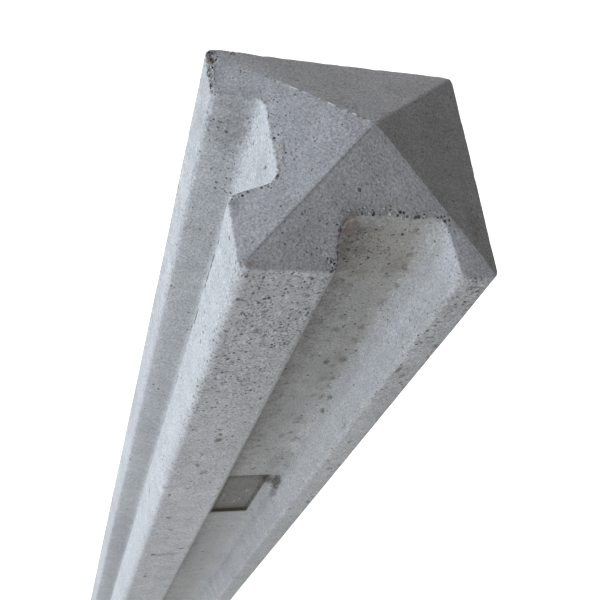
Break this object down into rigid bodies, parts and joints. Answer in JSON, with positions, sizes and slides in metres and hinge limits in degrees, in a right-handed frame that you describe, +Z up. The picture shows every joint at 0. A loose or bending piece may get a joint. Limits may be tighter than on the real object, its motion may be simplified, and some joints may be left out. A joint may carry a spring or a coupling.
{
  "type": "slotted concrete corner fence post",
  "caption": "Precast concrete corner fence post with tapered panel slots down adjoining faces and a low pyramid cap; holds fence panels where a run turns a corner.",
  "frame": {"origin": "middle of the foot, on the ground face", "axes": "+Z up along the post to the tip of the cap; the front slot is in the -Y face and the side slot in the -X face"},
  "size_m": [0.1058, 0.1, 2.4],
  "materials": {
    "concrete": "cast grey concrete, matt, with fine pits"
  },
  "bodies": {
    "root": {"concrete_post": "concrete"}
  },
  "joints": []
}
